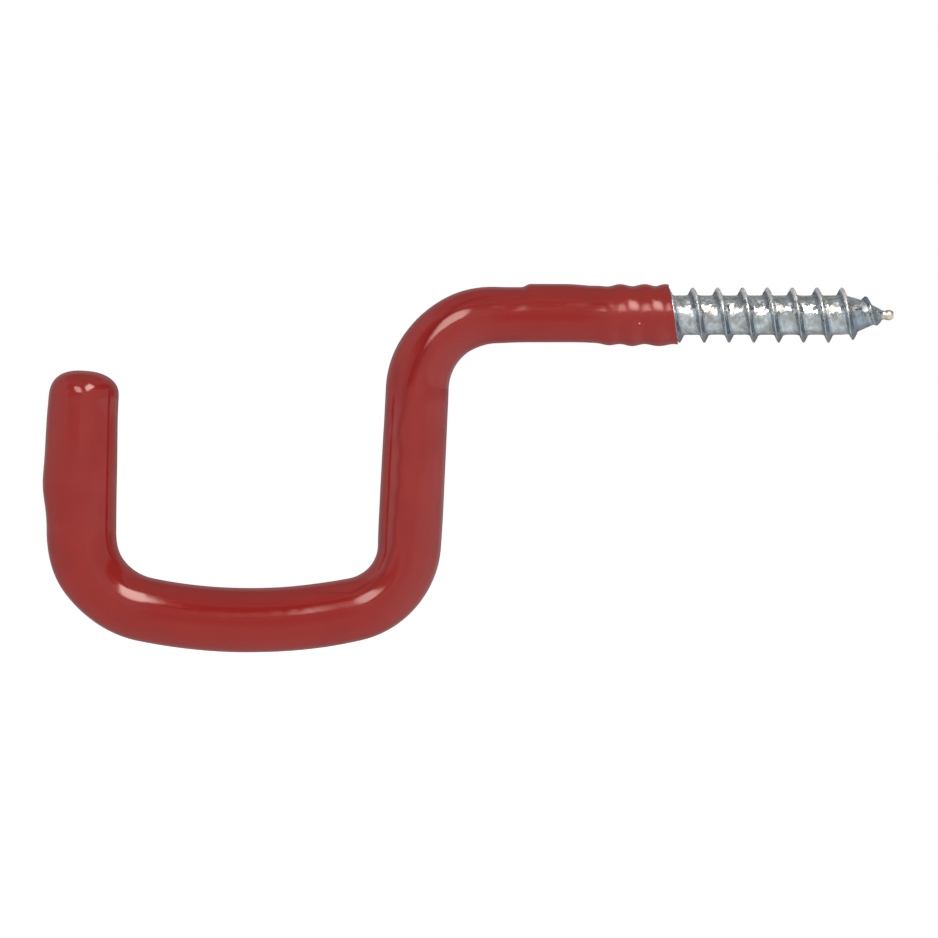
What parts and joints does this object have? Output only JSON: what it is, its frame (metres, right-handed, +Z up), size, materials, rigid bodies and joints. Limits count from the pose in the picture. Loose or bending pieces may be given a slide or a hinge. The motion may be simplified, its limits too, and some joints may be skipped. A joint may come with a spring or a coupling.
{
  "type": "storage hook",
  "caption": "Screw-in wall hook: a square steel hook dipped in red vinyl, with a wood-screw thread, for hanging a bicycle by its wheel or frame.",
  "frame": {"origin": "on the screw's axis at the wall's face, where the vinyl ends", "axes": "+X along the screw and into the wall, +Z up, +Y across the hook"},
  "size_m": [0.1233, 0.0102, 0.0534],
  "materials": {
    "vinyl": "gloss",
    "steel": "satin"
  },
  "bodies": {
    "root": {"vinyl_coating": "vinyl", "steel_hook": "steel"}
  },
  "joints": []
}
